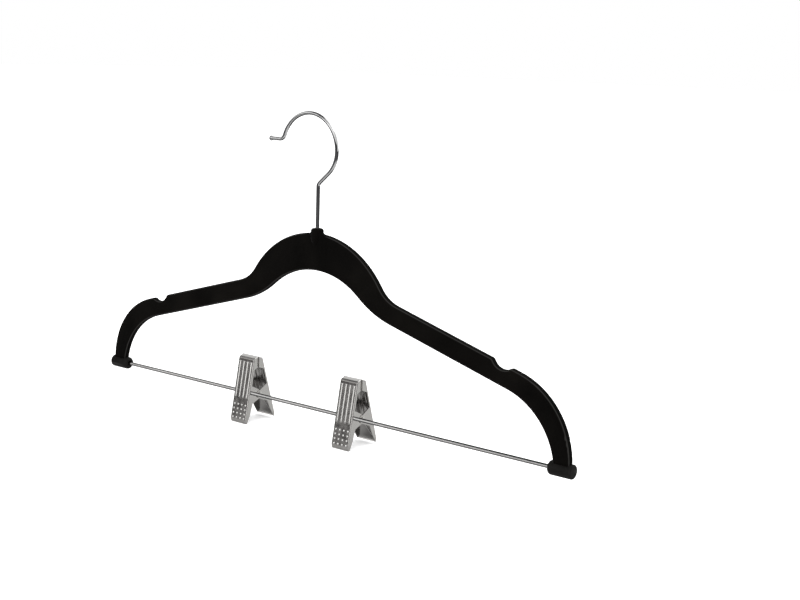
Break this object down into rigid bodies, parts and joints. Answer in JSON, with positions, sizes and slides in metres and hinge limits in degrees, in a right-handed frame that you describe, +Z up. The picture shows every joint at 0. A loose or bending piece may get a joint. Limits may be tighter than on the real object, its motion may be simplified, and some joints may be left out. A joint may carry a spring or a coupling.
{
  "type": "skirt hanger",
  "caption": "Slim flocked skirt hanger with an arched shoulder, strap notches, swivel wire hook, steel bar and stamped spring clips that slide along the bar.",
  "frame": {"origin": "inside top of the hook's bend, where it rests on a wardrobe rod", "axes": "+X along the bar away from the hook's open side, +Y from the front leaf of a clip to its rear leaf, +Z up"},
  "size_m": [0.4206, 0.0306, 0.2279],
  "materials": {
    "flock": "moulded plastic flocked with short black velvet pile",
    "cap_plastic": "black moulded plastic with a faint grain",
    "hook_chrome": "bright chrome plated steel wire",
    "bar_chrome": "bright plated steel rod",
    "clip_nickel": "stamped steel sheet with warm nickel plating",
    "pin_steel": "plated rivet with a domed head",
    "spring_steel": "plated spring wire"
  },
  "bodies": {
    "hanger": {"body": "flock", "left_end_cap": "cap_plastic", "right_end_cap": "cap_plastic"},
    "hook": {"hook": "hook_chrome"},
    "bar": {"bar": "bar_chrome"},
    "left_clip": {"left_front_leaf": "clip_nickel", "left_hinge_pin": "pin_steel", "left_spring": "spring_steel"},
    "left_jaw_leaf": {"left_rear_leaf": "clip_nickel"},
    "right_clip": {"right_front_leaf": "clip_nickel", "right_hinge_pin": "pin_steel", "right_spring": "spring_steel"},
    "right_jaw_leaf": {"right_rear_leaf": "clip_nickel"}
  },
  "joints": [
    {"name": "hook_swivel", "type": "hinge", "parent": "hanger", "child": "hook", "pos_m": [0.0086, 0, -0.0762], "axis": [0, 0, 1], "continuous": true},
    {"name": "bar_turn", "type": "hinge", "parent": "hanger", "child": "bar", "pos_m": [0.0086, 0, -0.2029], "axis": [1, 0, 0], "continuous": true},
    {"name": "left_clip_slide", "type": "slide", "parent": "bar", "child": "left_clip", "axis": [1, 0, 0], "range_m": [-0.096, 0.0584]},
    {"name": "left_jaw_open", "type": "hinge", "parent": "left_clip", "child": "left_jaw_leaf", "pos_m": [-0.0594, 0.0082, -0.2049], "axis": [-1, 0, 0], "range_deg": [0, 35], "stiffness_Nm_per_rad": 0.05, "springref_deg": -11.46, "deforming": ["left_spring"]},
    {"name": "right_clip_slide", "type": "slide", "parent": "bar", "child": "right_clip", "axis": [1, 0, 0], "range_m": [-0.0198, 0.1346]},
    {"name": "right_jaw_open", "type": "hinge", "parent": "right_clip", "child": "right_jaw_leaf", "pos_m": [0.038, 0.0082, -0.2049], "axis": [-1, 0, 0], "range_deg": [0, 35], "stiffness_Nm_per_rad": 0.05, "springref_deg": -11.46, "deforming": ["right_spring"]}
  ]
}
